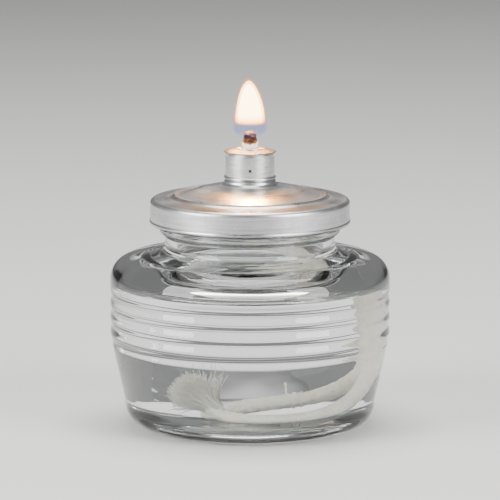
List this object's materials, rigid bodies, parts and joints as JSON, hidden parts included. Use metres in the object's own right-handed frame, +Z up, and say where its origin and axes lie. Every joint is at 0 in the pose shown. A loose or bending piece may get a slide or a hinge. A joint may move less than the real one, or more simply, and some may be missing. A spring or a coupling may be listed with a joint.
{
  "type": "alcohol burner",
  "caption": "Squat ridged glass jar of clear fuel with a stamped metal press-on cap, a flared wick collar and a cotton wick, for a small open flame.",
  "frame": {"origin": "middle of the jar's base, on the plane that it rests on", "axes": "+Z up along the jar's axis; -Y is the front, where the wick's frayed end lies"},
  "size_m": [0.058, 0.058, 0.0615],
  "materials": {
    "clear_glass": "clear pressed glass",
    "clear_fuel": "clear liquid",
    "cap_metal": "tinned sheet, turned brushing",
    "liner": "soft off-white",
    "collar_metal": "tinned sheet, satin",
    "tube_metal": "drawn tube",
    "seal": "pressed fibre",
    "spring_steel": "spring steel",
    "wick_cotton": "braided cotton, charred at the tip",
    "tail_cotton": "wet braided cotton"
  },
  "bodies": {
    "jar": {"glass_jar": "clear_glass", "fuel": "clear_fuel", "wick_tail_front": "tail_cotton", "wick_tail_rear": "tail_cotton"},
    "cap": {"cap_shell": "cap_metal", "cap_liner": "liner", "wick_collar": "collar_metal", "wick_tube": "tube_metal", "tube_seal": "seal", "retaining_washer": "spring_steel"},
    "wick": {"wick": "wick_cotton"}
  },
  "joints": [
    {"name": "cap_lift", "type": "slide", "parent": "jar", "child": "cap", "axis": [0, 0, 1], "range_m": [0, 0.012]},
    {"name": "wick_slide", "type": "slide", "parent": "cap", "child": "wick", "axis": [0, 0, 1], "range_m": [-0.002, 0.004]}
  ]
}
